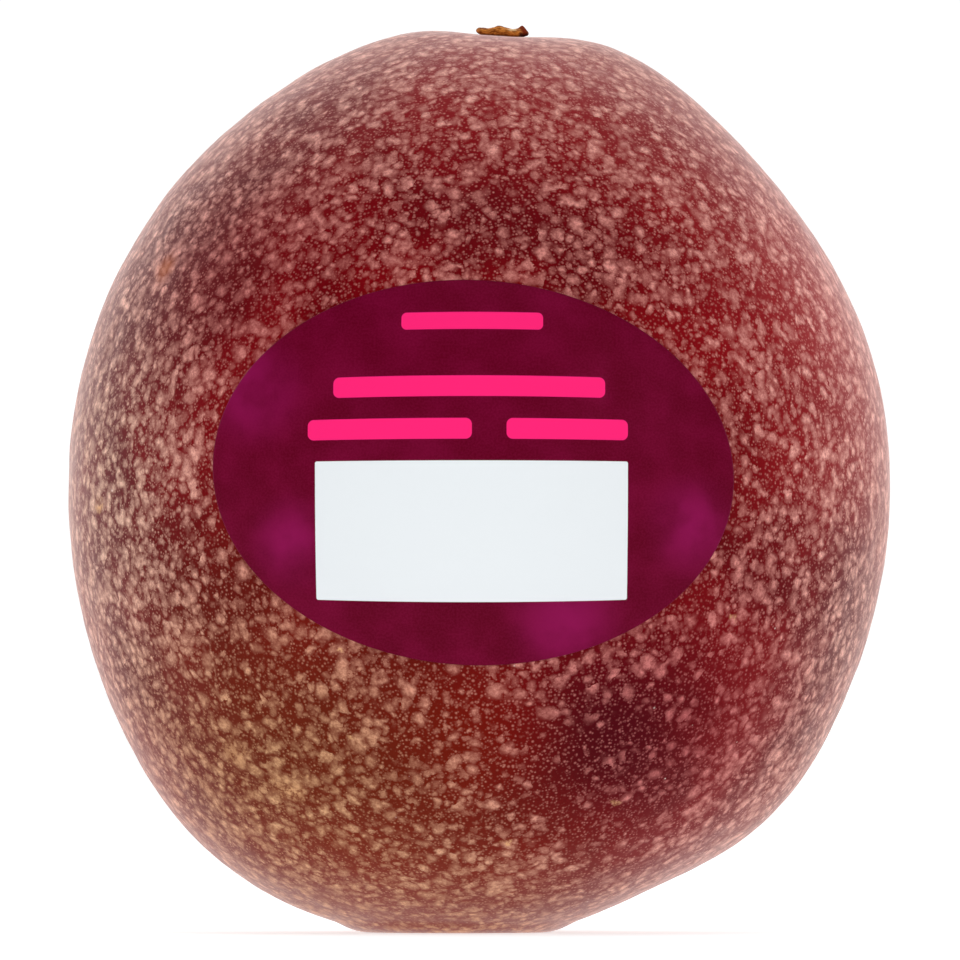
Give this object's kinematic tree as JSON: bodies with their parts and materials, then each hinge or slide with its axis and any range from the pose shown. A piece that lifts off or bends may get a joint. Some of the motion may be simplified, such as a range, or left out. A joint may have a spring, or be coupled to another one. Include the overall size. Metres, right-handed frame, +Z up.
{
  "type": "passion fruit",
  "caption": "Whole ripe purple passion fruit, speckled skin, dried stalk scrap on top and a blank-panel oval label on the front.",
  "frame": {"origin": "on the floor plane, below the middle of the fruit's bounding box", "axes": "+Z up from the blossom end to the stalk end, -Y towards the label, +X to the right of someone facing the label"},
  "size_m": [0.052, 0.0515, 0.0574],
  "materials": {
    "fruit_skin": "waxy satin skin, deep crimson, covered in pale rosy speckles",
    "stalk_bark": "dry, flaky and dull brown",
    "label_paper": "smooth printed sticker, dark plum with a blank pale panel"
  },
  "bodies": {
    "root": {"fruit": "fruit_skin", "stem_stub": "stalk_bark", "label": "label_paper"}
  },
  "joints": []
}
